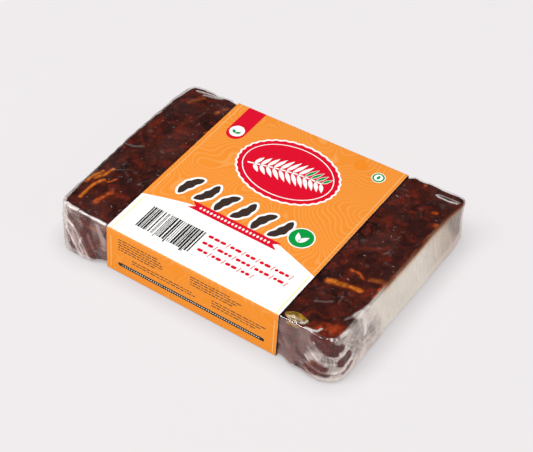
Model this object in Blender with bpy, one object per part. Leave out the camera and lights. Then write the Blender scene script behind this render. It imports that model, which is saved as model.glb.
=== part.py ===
"""A block of pressed, seedless tamarind pulp in clear film, with a printed paper band round its middle.

Metres, +Z up. The block lies flat: +X runs along its long side, +Y from front to back. The origin is
under the middle of the pack, on the surface that it lies on. The paper band is the outermost layer,
then the film, then the pulp, with a small clearance between each two.
"""

import math
import random

import bmesh
import bpy
from mathutils import Vector, noise

# Size of the wrapped block, measured on the outside of the film at its top
BLOCK_LEFT = -0.0752
BLOCK_RIGHT = 0.0725
BLOCK_DEPTH = 0.1024
FILM_TOP = 0.0239
FILM_BOTTOM = 0.00085
CORNER_RADIUS = 0.0058
EDGE_RADIUS = 0.0027

# The hand-pressed block is wider at its base than at its top, and deeper at its right end.
# Its left end is bowed, so that the film stands away from the two left corners.
SIDE_DRAFT = 0.0022
RIGHT_DRAFT = 0.0016
DEPTH_TAPER = 0.039
PULP_LEFT = -0.0725
PULP_CORNER_RADIUS = 0.0075
LEFT_BOW = 0.0029

# Layers
FILM_WALL = 0.0003
PAPER_WALL = 0.0003
CLEARANCE = 0.0003
BAND_OFFSET = PAPER_WALL + CLEARANCE
FILM_MIDDLE = FILM_WALL / 2
PULP_INSET = FILM_WALL + CLEARANCE + 0.00015

# Paper band, glued to itself in a lap under the block
BAND_LEFT = -0.0484
BAND_RIGHT = 0.0445
BASE_FLAT = 0.032
FOLD_CUTS = 5
LAP_EDGE = 0.019
LAP_WIDTH = 0.013
LAP_STEP = 0.0002
LAP_RAMP = 0.003
LAP_FALL = 0.00002

# Film ends, folded as a parcel: the top flap comes down, the bottom flap goes up over it
FLAP_GAP = 0.0007
FOLD_LINE = 0.0050
FLAP_TOP = 0.0200
FLAP_ROOT = 0.0440
FLAP_SLOPE = 0.95
FLAP_ROW = 0.0038
SLIT_LIFT = 0.0006

# Loose film: slack past the two ends, gathers at the upright corners, sag under the open ends
LEFT_SLACK = 0.0012
RIGHT_SLACK = 0.0006
SLACK_RUN = 0.004
WRINKLE = 0.0010
WRINKLE_REACH = 0.015
FOLD_PITCH = Vector((0.0063, 0.0063, 0.0111))
CREASE_PITCH = 0.003
SAG = 0.00062
LOWEST = 0.0003
TUCK_START = 0.0015
TUCK_END = 0.0070

# Relief of the pressed pulp: lumps, fibres, and a flake of rind by the band's front right corner
LUMP = 0.0009
LUMP_SIZE = 0.0080
LUMP_MEAN = 0.25
STRAND_SEED = 7
STRAND_COUNT = 110
STRAND_RISE = 0.0006
STRAND_HALF_LENGTH = (0.003, 0.0095)
STRAND_WIDTH = (0.0012, 0.0025)
FLAKE_CENTRE = Vector((0.0503, -0.0472, 0.0222))
FLAKE_REACH = Vector((0.0063, 0.0038, 0.0042))
FLAKE_RISE = 0.0005

# Distance between the lines of each mesh
PULP_SPACING = {"band": 0.0155, "ends": 0.0028, "corners": 0.0015, "depth": 0.0035, "height": 0.0028, "rounds": 0.0011}
FILM_SPACING = {"band": 0.0310, "ends": 0.0045, "corners": 0.0020, "depth": 0.0083, "height": 0.0036, "rounds": 0.0010}
GATHER_SPACING = 0.0027
GATHER_REACH = 0.0100

TOUCHING = 1e-5


def smooth_step(low, high, value):
    """0 below low, 1 above high, with a smooth change between."""
    t = min(1.0, max(0.0, (value - low) / (high - low)))
    return t * t * (3 - 2 * t)


def steps(start, end, spacing):
    """Places from start to end, both included, at most about spacing apart."""
    count = max(1, round((end - start) / spacing))
    return [start + (end - start) * i / count for i in range(count + 1)]


def without_repeats(places):
    """The places in order, each once."""
    found = []
    for place in sorted(places):
        if not found or place - found[-1] > TOUCHING:
            found.append(place)
    return found


class Block:
    """A box with rounded edges, drafted sides and a tapered depth, at some inset from the film's outside."""

    def __init__(self, inset, left=BLOCK_LEFT, corner=CORNER_RADIUS):
        self.left = left + inset
        self.right = BLOCK_RIGHT - inset
        self.depth = BLOCK_DEPTH / 2 - inset
        self.bottom = FILM_BOTTOM + inset
        self.top = FILM_TOP - inset
        self.corner = corner - inset
        self.edge = EDGE_RADIUS - inset

    def lines(self, spacing):
        """Places of the mesh's lines along X, Y and Z: few under the band, more in the open ends."""
        xs = steps(self.left, self.left + self.corner, spacing["corners"])
        xs += steps(self.left + self.corner, BAND_LEFT, spacing["ends"])
        xs += steps(BAND_LEFT, BAND_RIGHT, spacing["band"])
        xs += steps(BAND_RIGHT, self.right - self.corner, spacing["ends"])
        xs += steps(self.right - self.corner, self.right, spacing["corners"])
        ys = steps(-self.depth, -self.depth + self.corner, spacing["corners"])
        ys += steps(-self.depth + self.corner, self.depth - self.corner, spacing["depth"])
        ys += steps(self.depth - self.corner, self.depth, spacing["corners"])
        zs = steps(self.bottom, self.bottom + self.edge, spacing["rounds"])
        zs += steps(self.bottom + self.edge, self.top - self.edge, spacing["height"])
        zs += steps(self.top - self.edge, self.top, spacing["rounds"])
        return xs, ys, zs

    def mesh(self, xs, ys, zs):
        """A bmesh box, still square, whose six sides are cut along the given lines."""
        xs, ys, zs = (without_repeats(places) for places in (xs, ys, zs))
        bm = bmesh.new()
        bmesh.ops.create_cube(bm, size=1.0)
        bmesh.ops.scale(bm, verts=bm.verts, vec=(xs[-1] - xs[0], ys[-1] - ys[0], zs[-1] - zs[0]))
        bmesh.ops.translate(bm, verts=bm.verts, vec=((xs[0] + xs[-1]) / 2, 0, (zs[0] + zs[-1]) / 2))
        for axis, places in enumerate((xs, ys, zs)):
            normal = Vector((0, 0, 0))
            normal[axis] = 1
            for place in places[1:-1]:
                geometry = bm.verts[:] + bm.edges[:] + bm.faces[:]
                bmesh.ops.bisect_plane(bm, geom=geometry, dist=1e-7, plane_co=normal * place, plane_no=normal)
        return bm

    def rounded(self, point):
        """A point of the square box, moved to the box with round edges."""
        x, y, z = point
        inner_x = min(max(x, self.left + self.corner), self.right - self.corner)
        inner_y = min(max(y, -self.depth + self.corner), self.depth - self.corner)
        out = Vector((x - inner_x, y - inner_y))
        reach = max(abs(out.x), abs(out.y))
        direction = out.normalized()
        middle = (self.top + self.bottom) / 2
        straight = (self.top - self.bottom) / 2 - self.edge
        rise = abs(z - middle) - straight
        near = self.edge - (self.corner - reach)
        if rise > 0 and near > 0:
            shrink = max(rise, near) / math.hypot(rise, near)
            z = middle + math.copysign(straight + rise * shrink, z - middle)
            reach = self.corner - self.edge + near * shrink
        return Vector((inner_x + direction.x * reach, inner_y + direction.y * reach, z))


def bowed(point):
    """A point of the pulp, moved out by the bow of its left end, which fades towards the band."""
    run = smooth_step(BAND_LEFT, PULP_LEFT, point.x)
    across = 1 - (2 * point.y / BLOCK_DEPTH) ** 2
    return point - Vector((LEFT_BOW * run * across, 0, 0))


def leaned(point):
    """A point of the upright block, moved out by the draft and the taper."""
    low = 1 - (point.z - FILM_BOTTOM) / (FILM_TOP - FILM_BOTTOM)
    x = point.x + RIGHT_DRAFT * low * max(0.0, point.x / BLOCK_RIGHT)
    y = point.y * (1 + SIDE_DRAFT * low / (BLOCK_DEPTH / 2))
    y += DEPTH_TAPER * x * (0.5 + y / BLOCK_DEPTH)
    return Vector((x, y, point.z))


def new_object(name, bm, material):
    """A node from a bmesh, shaded smooth but for its folds."""
    mesh = bpy.data.meshes.new(name)
    bm.to_mesh(mesh)
    bm.free()
    mesh.materials.append(material)
    mesh.shade_smooth()
    mesh.set_sharp_from_angle(angle=math.radians(50))
    node = bpy.data.objects.new(name, mesh)
    bpy.context.scene.collection.objects.link(node)
    return node


def new_material(name, colour, roughness, alpha=1.0):
    material = bpy.data.materials.new(name)
    material.use_nodes = True
    shader = material.node_tree.nodes["Principled BSDF"]
    shader.inputs["Base Color"].default_value = (*colour, 1.0)
    shader.inputs["Roughness"].default_value = roughness
    shader.inputs["Metallic"].default_value = 0.0
    shader.inputs["Alpha"].default_value = alpha
    return material


# Pulp

def strands(block):
    """Fibres pressed into the pulp's open ends, each as the two ends of a short stretch and a width."""
    draw = random.Random(STRAND_SEED)
    found = []
    for _ in range(STRAND_COUNT):
        start, end = draw.choice(((block.left, BAND_LEFT), (BAND_RIGHT, block.right)))
        x = draw.uniform(start, end)
        y = draw.uniform(-block.depth, block.depth)
        z = draw.choice((block.top, block.top, block.bottom, draw.uniform(block.bottom, block.top)))
        heading = draw.gauss(0.2, 0.8)
        along = Vector((math.cos(heading), math.sin(heading), 0)) * draw.uniform(*STRAND_HALF_LENGTH)
        middle = Vector((x, y, z))
        found.append((middle - along, middle + along, draw.uniform(*STRAND_WIDTH)))
    return found


def strand_rise(point, found):
    """How far the fibres lift the surface at a point."""
    best = 0.0
    for start, end, width in found:
        run = end - start
        share = min(1.0, max(0.0, (point - start).dot(run) / run.length_squared))
        gap = (point - start - run * share).length / width
        best = max(best, 1 - gap * gap)
    return best * STRAND_RISE


def flake_rise(point):
    """How far the flake of rind lifts the surface at a point."""
    gap = Vector(a / b for a, b in zip(point - FLAKE_CENTRE, FLAKE_REACH)).length
    return FLAKE_RISE * (1 - smooth_step(0.75, 1.0, gap))


def make_pulp(material):
    """The pressed block: lumps of pulp with fibres and one flake of rind in its skin."""
    block = Block(PULP_INSET + STRAND_RISE, PULP_LEFT, PULP_CORNER_RADIUS)
    bm = block.mesh(*block.lines(PULP_SPACING))
    for vertex in bm.verts:
        vertex.co = block.rounded(vertex.co)
    bm.normal_update()
    found = strands(block)
    places = []
    for vertex in bm.verts:
        lump = noise.noise(vertex.co / LUMP_SIZE) + 0.5 * noise.noise(vertex.co * 2.2 / LUMP_SIZE)
        sink = LUMP * min(0.0, lump - LUMP_MEAN)
        rise = max(strand_rise(vertex.co, found), flake_rise(vertex.co))
        places.append(leaned(bowed(vertex.co + vertex.normal * (sink + rise))))
    for vertex, place in zip(bm.verts, places):
        vertex.co = place
    return new_object("pulp_block", bm, material)


# Film

def film_lines(block):
    """Lines of the film's mesh, closer near the corners, where it is gathered, and one on the fold line."""
    xs, ys, zs = block.lines(FILM_SPACING)
    front = -block.depth + block.corner
    ys += steps(front, front + GATHER_REACH, GATHER_SPACING)
    ys += steps(-front - GATHER_REACH, -front, GATHER_SPACING)
    zs = [place for place in zs if abs(place - FOLD_LINE) > 2 * SLIT_LIFT] + [FOLD_LINE]
    return xs, ys, zs


def openness(x):
    """0 under the paper band, 1 in the open ends."""
    past_band = max(BAND_LEFT - x, x - BAND_RIGHT)
    return smooth_step(TUCK_START, TUCK_END, past_band)


def corner_nearness(point, block):
    """1 at the nearest upright corner, falling to 0 at WRINKLE_REACH from it."""
    corner_x = block.right if point.x > 0 else block.left
    corner_y = math.copysign(block.depth, point.y)
    gap = math.hypot(point.x - corner_x, point.y - corner_y)
    return 1 - smooth_step(0.2 * WRINKLE_REACH, WRINKLE_REACH, gap)


def wrinkle(point, block):
    """How far the gathered film stands out at a point. It is never negative, so that it clears the pulp."""
    fold = abs(noise.noise(Vector(a / b for a, b in zip(point, FOLD_PITCH)) + Vector((0, 0, 3.7))))
    crease = abs(noise.noise(point / CREASE_PITCH + Vector((9.1, 0, 0))))
    return WRINKLE * (1.6 * fold + 0.6 * crease) * corner_nearness(point, block) * openness(point.x)


def slack(point, block):
    """How far the loose film stands away past the two ends of the pulp, along X."""
    height = (point.z - FILM_BOTTOM) / (FILM_TOP - FILM_BOTTOM)
    uneven = noise.noise(Vector((0, point.y / 0.0133, point.z / 0.033)))
    if point.x < 0:
        near = smooth_step(block.left + SLACK_RUN, block.left, point.x)
        return -LEFT_SLACK * near * (1 + 0.7 * uneven) * (0.55 + 0.45 * math.sin(height * math.pi * 0.8))
    near = smooth_step(block.right - SLACK_RUN, block.right, point.x)
    return RIGHT_SLACK * near * (1 + 0.35 * uneven)


def fold_end(bm, block, side):
    """Opens the film along the fold line of one end and turns the bottom flap up over the top one."""
    end = block.right if side > 0 else block.left
    on_line = []
    for edge in bm.edges:
        offsets = [(abs(v.co.z - FOLD_LINE), abs(v.co.x - end), abs(v.co.y) - FLAP_ROOT) for v in edge.verts]
        if all(dz < TOUCHING and dx < TOUCHING and dy < 0 for dz, dx, dy in offsets):
            on_line.append(edge)
    bmesh.ops.split_edges(bm, edges=on_line)
    lips = [e for e in bm.edges if e.is_boundary and all(abs(v.co.x - end) < TOUCHING for v in e.verts)]
    lower = [e for e in lips if e.link_faces[0].calc_center_median().z < FOLD_LINE]
    upper = [e for e in lips if e not in lower]
    ends = {v for e in lower for v in e.verts} & {v for e in upper for v in e.verts}
    for vertex in {v for e in upper for v in e.verts} - ends:
        vertex.co.z += SLIT_LIFT
    for vertex in {v for e in lower for v in e.verts} - ends:
        vertex.co.x += side * FLAP_GAP
    row = [e for e in lower if not ends & set(e.verts)]
    flap = set()
    heights = steps(FOLD_LINE, FLAP_TOP, FLAP_ROW)
    for below, height in zip(heights, heights[1:]):
        made = bmesh.ops.extrude_edge_only(bm, edges=row)["geom"]
        fresh = {item for item in made if isinstance(item, bmesh.types.BMVert)}
        row = [item for item in made if isinstance(item, bmesh.types.BMEdge) and set(item.verts) <= fresh]
        narrowed = 1 - FLAP_SLOPE * (height - below) / max(abs(v.co.y) for v in fresh)
        for vertex in fresh:
            vertex.co.y *= narrowed
            vertex.co.z = height
        flap |= fresh
    return flap


def make_film(material):
    """The clear wrap: one sheet round the block, with parcel folds at both ends."""
    block = Block(FILM_MIDDLE)
    bm = block.mesh(*film_lines(block))
    flaps = fold_end(bm, block, 1) | fold_end(bm, block, -1)
    for vertex in bm.verts:
        if vertex not in flaps:
            past = vertex.co.x - min(max(vertex.co.x, block.left), block.right)
            vertex.co.x -= past
            vertex.co = block.rounded(vertex.co) + Vector((past, 0, 0))
    bmesh.ops.recalc_face_normals(bm, faces=bm.faces[:])
    bm.normal_update()
    places = []
    for vertex in bm.verts:
        at = vertex.co
        behind_flap = abs(at.y) < FLAP_ROOT and FOLD_LINE < at.z < FLAP_TOP and vertex not in flaps
        at_end = not block.left + FLAP_GAP < at.x < block.right - FLAP_GAP
        move = Vector((slack(at, block), 0, 0))
        if not (behind_flap and at_end):
            move += vertex.normal * wrinkle(at, block)
        if at.z < block.bottom + TOUCHING:
            move.z = -SAG * openness(at.x)
        place = leaned(at + move)
        place.z = max(place.z, LOWEST)
        places.append(place)
    for vertex, place in zip(bm.verts, places):
        vertex.co = place
    node = new_object("film_wrap", bm, material)
    wall = node.modifiers.new("wall", "SOLIDIFY")
    wall.thickness = FILM_WALL
    wall.offset = 0.0
    wall.use_even_offset = True
    return node


# Paper band

def quarter(centre_y, centre_z, radius, start):
    """Points (y, z) of a quarter circle that starts at an angle in degrees and turns left."""
    turns = [math.radians(start + 90 * i / FOLD_CUTS) for i in range(FOLD_CUTS + 1)]
    return [(centre_y + radius * math.cos(t), centre_z + radius * math.sin(t)) for t in turns]


def band_outline(offset, base):
    """A wall of the band in section, as (y, z): the points of its base, then on by the back and the top."""
    half = BLOCK_DEPTH / 2 + offset
    radius = EDGE_RADIUS + offset
    low = base[0][1]
    high = FILM_TOP + offset
    points = list(base)
    points += quarter(half - radius, low + radius, radius, -90)
    points += quarter(half - radius, high - radius, radius, 0)
    points += quarter(-half + radius, high - radius, radius, 90)
    points += quarter(-half + radius, low + radius, radius, 180)
    return points


def band_walls():
    """The outer and inner outlines, point for point, with the lap on the base."""
    under = LAP_EDGE - LAP_WIDTH
    places = (-BASE_FLAT, under - LAP_RAMP, under, LAP_EDGE, LAP_EDGE + LAP_FALL, LAP_EDGE + LAP_RAMP, BASE_FLAT)
    rises = (0, 0, 0, 0, LAP_STEP, 0, 0)
    lifts = (0, 0, LAP_STEP, LAP_STEP, LAP_STEP, LAP_STEP, 0)
    outer = list(zip(places, rises))
    inner = [(place, PAPER_WALL + lift) for place, lift in zip(places, lifts)]
    return band_outline(BAND_OFFSET, outer), band_outline(CLEARANCE, inner)


def make_band(material):
    """The printed paper band: its section as a ring of faces, pulled out along the block."""
    bm = bmesh.new()
    outer, inner = [[bm.verts.new((BAND_LEFT, y, z)) for y, z in wall] for wall in band_walls()]
    for i in range(len(outer)):
        bm.faces.new([outer[i - 1], outer[i], inner[i], inner[i - 1]])
    made = bmesh.ops.extrude_face_region(bm, geom=bm.faces[:])["geom"]
    fresh = [item for item in made if isinstance(item, bmesh.types.BMVert)]
    bmesh.ops.translate(bm, verts=fresh, vec=(BAND_RIGHT - BAND_LEFT, 0, 0))
    for vertex in bm.verts:
        vertex.co.y = leaned(vertex.co).y
    bmesh.ops.recalc_face_normals(bm, faces=bm.faces[:])
    return new_object("label_band", bm, material)


def centre_over_origin(nodes):
    """Moves all nodes together, so that the pack's box is centred over the origin and stands on it."""
    bpy.context.view_layer.update()
    graph = bpy.context.evaluated_depsgraph_get()
    corners = []
    for node in nodes:
        mesh = node.evaluated_get(graph).to_mesh()
        corners += [vertex.co.copy() for vertex in mesh.vertices]
        node.evaluated_get(graph).to_mesh_clear()
    low = Vector(min(corner[axis] for corner in corners) for axis in range(3))
    high = Vector(max(corner[axis] for corner in corners) for axis in range(3))
    for node in nodes:
        node.location = (-(low.x + high.x) / 2, -(low.y + high.y) / 2, -low.z)


def main():
    for leftover in list(bpy.data.objects):
        bpy.data.objects.remove(leftover)
    pulp = make_pulp(new_material("pressed_pulp", (0.055, 0.014, 0.010), 0.35))
    film = make_film(new_material("clear_film", (0.90, 0.90, 0.91), 0.12, alpha=0.25))
    band = make_band(new_material("printed_paper", (0.95, 0.32, 0.03), 0.45))
    centre_over_origin([pulp, film, band])


main()
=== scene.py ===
import math
import random

import bmesh
import bpy
from mathutils import Matrix, Vector, kdtree, noise


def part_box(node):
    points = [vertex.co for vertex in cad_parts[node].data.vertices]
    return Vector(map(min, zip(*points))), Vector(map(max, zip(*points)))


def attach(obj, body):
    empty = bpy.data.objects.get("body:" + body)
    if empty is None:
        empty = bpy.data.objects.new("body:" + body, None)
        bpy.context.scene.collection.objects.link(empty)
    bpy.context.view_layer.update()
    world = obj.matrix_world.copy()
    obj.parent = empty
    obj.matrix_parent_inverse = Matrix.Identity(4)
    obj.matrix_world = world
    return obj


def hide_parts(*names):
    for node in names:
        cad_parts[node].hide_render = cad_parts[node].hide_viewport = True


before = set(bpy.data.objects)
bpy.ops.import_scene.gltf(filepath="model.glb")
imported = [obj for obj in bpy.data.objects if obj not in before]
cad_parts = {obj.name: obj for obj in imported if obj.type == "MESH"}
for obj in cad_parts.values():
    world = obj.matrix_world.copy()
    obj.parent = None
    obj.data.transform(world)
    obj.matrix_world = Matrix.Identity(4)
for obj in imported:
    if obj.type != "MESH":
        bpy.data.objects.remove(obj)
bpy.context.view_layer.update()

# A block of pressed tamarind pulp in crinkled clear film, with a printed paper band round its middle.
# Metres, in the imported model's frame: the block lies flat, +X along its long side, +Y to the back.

MM = 0.001

# Seeds: how folds, clefts and fibres sway, where the drawn fibres lie, and the printed bars and strokes
SWAY_SEED = 7
STRAND_SEED = 11
PRINT_SEED = 5
noise.seed_set(SWAY_SEED)

# Outline of the wrapped block, before it is moved over the origin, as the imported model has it,
# but with crisper edges and fuller ends
BLOCK_LEFT = -75.2 * MM
BLOCK_RIGHT = 72.5 * MM
BLOCK_DEPTH = 102.4 * MM
FILM_TOP = 23.9 * MM
FILM_BOTTOM = 0.85 * MM
EDGE_RADIUS = 1.3 * MM
SIDE_DRAFT = 2.2 * MM
RIGHT_DRAFT = 1.6 * MM
DEPTH_TAPER = 0.039
PULP_LEFT = -75.0 * MM
LEFT_BOW = 2.3 * MM
LEFT_FULL = 1.1 * MM
RIGHT_FULL = 2.1 * MM
CORNER_EAR = 2.2 * MM
FRONT_FOOT = 2.3 * MM
FOOT_RUN = 14.0 * MM
FULL_RUN = 8.0 * MM
BACK_RUN = 3.5 * MM
LOWEST = 0.25 * MM

# Radius of the upright corners, by the signs of x and y
CORNER_RADII = {(-1, -1): 4.8 * MM, (-1, 1): 4.8 * MM, (1, -1): 6.6 * MM, (1, 1): 4.0 * MM}

# Paper band
BAND_LEFT = -48.4 * MM
BAND_RIGHT = 44.5 * MM
BAND_OFFSET = 0.6 * MM
BAND_HALF = BLOCK_DEPTH / 2 + BAND_OFFSET
BAND_RADIUS = 0.9 * MM
BAND_TOP = FILM_TOP + BAND_OFFSET
FOLD_START = BAND_HALF - BAND_RADIUS
FOLD_ARC = BAND_RADIUS * math.pi / 2
PAPER_WALL = 0.15 * MM
FOLD_CUTS = 14
BASE_FLAT = 32.0 * MM
LAP_EDGE = 19.0 * MM
LAP_WIDTH = 13.0 * MM
LAP_STEP = 0.2 * MM
LAP_RAMP = 3.0 * MM

# Mesh of the pulp and the film: fine at the open ends and the corners, coarse where little shows
PULP_SPACING = 0.60 * MM
FILM_SPACING = 0.47 * MM
FLAT_SPACING = 0.70 * MM
HIDDEN_SPACING = 6.0 * MM
UNDER_BAND = 1.5 * MM
CORNER_ZONE = 12.0 * MM

# Pulp
PULP_INSET = 0.32 * MM
LUMP_SIZE = 9.0 * MM
LUMP_DEPTH = 0.55 * MM
CLEFT_SIZE = 6.5 * MM
CLEFT_DEPTH = 0.30 * MM
GRAIN_SIZE = 1.7 * MM
GRAIN_DEPTH = 0.045 * MM
STRAND_RISE = 0.22 * MM
STRAND_COUNT = 110
STRAND_GLOW = 1.9
PULP_PROUD = 0.08 * MM
LEFT_TUCK = 3.0 * MM

# Flake of rind: half its length, width and thickness, its middle, how much thicker its edge is,
# and its turn and tilt in degrees
FLAKE_HALVES = (6.9 * MM, 3.4 * MM, 1.1 * MM)
FLAKE_PLACE = (51.0 * MM, -48.2 * MM, 22.6 * MM)
FLAKE_EDGE = 0.25 * MM
FLAKE_TURN = 4
FLAKE_TILT = 24

# Film
FILM_INSET = -0.10 * MM
FILM_HUG = 0.85
FOLD_LINE = 5.0 * MM
FLAP_TOP = 20.0 * MM
FLAP_ROOT = 44.0 * MM
FLAP_SLOPE = 0.95
FLAP_FRONT = -17.5 * MM
FLAP_LEAN = 0.3
CORNER_LIFT = 0.9 * MM
LEFT_SLACK = 0.75 * MM
LEFT_STANDOFF = 0.15 * MM
FILM_TUCK = 2.2 * MM
STANDING_HAZE = 0.46
FOOT_HAZE = 0.62
GLOW_RIM_HAZE = 0.6
WET_HAZE = 0.55
LEFT_RUN = 9.0 * MM
RIGHT_SLACK = 0.15 * MM
RIGHT_FLARE = 1.3 * MM
SIDE_FLARE = 0.8 * MM
RIGHT_RUN = 6.0 * MM

# Steps of height in the printed pattern, which has a contour line at every second one
CONTOURS = 92.0

# Ink stands this far out of the paper for each layer
INK = 0.02 * MM


def ease(low, high, value):
    """0 at low and 1 at high, with a smooth change between. Low may be the larger of the two."""
    t = min(1.0, max(0.0, (value - low) / (high - low)))
    return t * t * (3 - 2 * t)


def blend(a, b, share):
    return a + (b - a) * share


def low_share(z):
    """1 at the film's base and 0 at its top, for a height in the upright block."""
    return 1 - (z - FILM_BOTTOM) / (FILM_TOP - FILM_BOTTOM)


# Materials

def colour(code, alpha=1.0):
    """A linear colour from an sRGB hex code."""
    parts = [int(code[i:i + 2], 16) / 255 for i in (1, 3, 5)]
    return (*[c / 12.92 if c <= 0.04045 else ((c + 0.055) / 1.055) ** 2.4 for c in parts], alpha)


def add(tree, kind, inputs=None, **settings):
    """Adds a node with its settings. An input takes a value, an output, or a node for its first output."""
    node = tree.nodes.new("ShaderNode" + kind)
    for name, value in settings.items():
        setattr(node, name, value)
    for name, value in (inputs or {}).items():
        if isinstance(value, bpy.types.Node):
            value = value.outputs[0]
        if isinstance(value, bpy.types.NodeSocket):
            tree.links.new(value, node.inputs[name])
        else:
            node.inputs[name].default_value = value
    return node


def blank(name):
    """A material, its node tree and the place on the piece, which patterns are laid out by."""
    material = bpy.data.materials.new(name)
    material.use_nodes = True
    tree = material.node_tree
    tree.nodes.clear()
    return material, tree, add(tree, "TexCoord").outputs["Object"]


def per(size):
    """Scale of a noise whose features are about this size in metres."""
    return 1.0 / size


def pressed_pulp():
    """Tamarind pulp, pressed: moist and sticky, near black in its depths, rust red where light gets in,
    with painted shade that darkens the clefts between its lumps.
    """
    material, tree, place = blank("pressed tamarind pulp")
    broad = add(tree, "TexNoise", {
        "Vector": place, "Scale": per(9 * MM), "Detail": 2.0, "Roughness": 0.5, "Distortion": 0.6})
    patch = add(tree, "TexNoise", {
        "Vector": place, "Scale": per(5.6 * MM), "Detail": 2.0, "Roughness": 0.5, "Distortion": 1.0})
    base = colour("#34110C")
    layers = ((broad, 0.36, 0.64, 1.0, "#4C1A10"), (patch, 0.54, 0.72, 0.75, "#742211"),
              (patch, 0.46, 0.30, 0.8, "#230A08"))
    for source, low, high, most, code in layers:
        share = add(tree, "MapRange", {"Value": source, "From Min": low, "From Max": high, "To Max": most})
        base = add(tree, "MixRGB", {"Fac": share, "Color1": base, "Color2": colour(code)})
    fine = add(tree, "TexNoise", {"Vector": place, "Scale": per(1.6 * MM), "Detail": 3.0, "Roughness": 0.6})
    mottle = add(tree, "MapRange", {
        "Value": fine, "From Min": 0.3, "From Max": 0.7, "To Min": 0.87, "To Max": 1.13})
    base = add(tree, "MixRGB", {"Fac": 1.0, "Color1": base, "Color2": mottle}, blend_type="MULTIPLY")
    # Painted shade: near black in the clefts between the lumps
    deep = add(tree, "Attribute", attribute_name="cleft_and_shade").outputs["Fac"]
    base = add(tree, "MixRGB", {"Fac": deep, "Color1": base, "Color2": colour("#1C0706")})
    strand = add(tree, "Attribute", attribute_name="strand")
    weight = add(tree, "Attribute", attribute_name="strand_share").outputs["Fac"]
    glow = add(tree, "MapRange", {"Value": weight, "From Min": 0.0, "From Max": 0.7, "To Max": 0.8},
               interpolation_type="SMOOTHSTEP")
    base = add(tree, "MixRGB", {"Fac": glow, "Color1": base, "Color2": colour("#6E220D")})
    core = add(tree, "MapRange", {"Value": weight, "From Min": 0.35, "From Max": 1.0, "To Max": 0.92},
               interpolation_type="SMOOTHSTEP")
    tone = add(tree, "MapRange", {
        "Value": fine, "From Min": 0.35, "From Max": 0.6, "To Min": 0.5, "To Max": 1.12})
    fibre = add(tree, "MixRGB", {"Fac": 1.0, "Color1": strand, "Color2": tone}, blend_type="MULTIPLY")
    base = add(tree, "MixRGB", {"Fac": core, "Color1": base, "Color2": fibre})
    rough = add(tree, "MapRange", {"Value": fine, "To Min": 0.30, "To Max": 0.55})
    bump = add(tree, "Bump", {"Height": fine, "Strength": 0.25, "Distance": 0.2 * MM})
    skin = add(tree, "BsdfPrincipled", {
        "Base Color": base, "Roughness": rough, "Normal": bump, "IOR": 1.42, "Specular IOR Level": 0.25})
    add(tree, "OutputMaterial", {"Surface": skin})
    return material


def pod_rind():
    """A flake of tamarind rind: brittle, olive brown and glossy where the film wets it."""
    material, tree, place = blank("tamarind rind flake")
    mottle = add(tree, "TexNoise", {"Vector": place, "Scale": per(2.2 * MM), "Detail": 3.0})
    share = add(tree, "MapRange", {"Value": mottle, "From Min": 0.35, "From Max": 0.65})
    base = add(tree, "MixRGB", {"Fac": share, "Color1": colour("#5E430F"), "Color2": colour("#A07A22")})
    skin = add(tree, "BsdfPrincipled", {"Base Color": base, "Roughness": 0.22, "IOR": 1.5})
    add(tree, "OutputMaterial", {"Surface": skin})
    return material


def clear_film():
    """Polypropylene film, drawn thin: glassy where it clings, milky where creased or in layers, with
    painted highlights of white haze in specks and along some creases.
    """
    material, tree, place = blank("clear polypropylene film")
    haze = add(tree, "Attribute", attribute_name="haze").outputs["Fac"]
    veil = add(tree, "Attribute", attribute_name="veil").outputs["Color"]
    crinkle = add(tree, "Attribute", attribute_name="crinkle").outputs["Fac"]
    # Upright streaks, coarser than real so that they show
    drawn = add(tree, "Mapping", {"Vector": place, "Scale": (1.0, 1.0, 0.14)})
    streak = add(tree, "TexNoise", {"Vector": drawn, "Scale": per(0.9 * MM), "Detail": 3.0})
    streaks = add(tree, "MapRange", {
        "Value": streak, "From Min": 0.3, "From Max": 0.7, "To Min": 0.93, "To Max": 1.06})
    veiled = add(tree, "Math", {0: haze, 1: streaks}, operation="MULTIPLY")
    # Painted glints: tiny specks of white haze all over the film, standing in for light caught by small
    # blisters
    glint_speck = add(tree, "TexNoise", {
        "Vector": place, "Scale": per(1.5 * MM), "Detail": 1.0, "Distortion": 0.8})
    glint_specks = add(tree, "MapRange", {"Value": glint_speck, "From Min": 0.72, "From Max": 0.79, "To Max": 0.26})
    cover = add(tree, "Math", {0: veiled, 1: glint_specks}, operation="ADD", use_clamp=True)
    wrinkle = add(tree, "TexNoise", {
        "Vector": place, "Scale": per(1.8 * MM), "Detail": 2.0, "Distortion": 1.2})
    bump = add(tree, "Bump", {"Height": wrinkle, "Strength": crinkle, "Distance": 0.3 * MM})
    gloss = add(tree, "BsdfGlossy", {"Roughness": 0.09, "Normal": bump})
    through = add(tree, "BsdfTransparent", {"Color": (0.98, 0.98, 0.98, 1.0)})
    facing = add(tree, "LayerWeight", {"Blend": 0.5, "Normal": bump})
    grazing = add(tree, "Math", {0: facing.outputs["Facing"], 1: 5.0}, operation="POWER")
    mirror = add(tree, "MapRange", {"Value": grazing, "To Min": 0.05})
    clear = add(tree, "MixShader", {"Fac": mirror, 1: through, 2: gloss})
    milky = add(tree, "BsdfPrincipled", {
        "Base Color": veil, "Roughness": 0.32, "IOR": 1.49, "Normal": bump})
    mixed = add(tree, "MixShader", {"Fac": cover, 1: clear, 2: milky})
    add(tree, "OutputMaterial", {"Surface": mixed})
    return material


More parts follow.
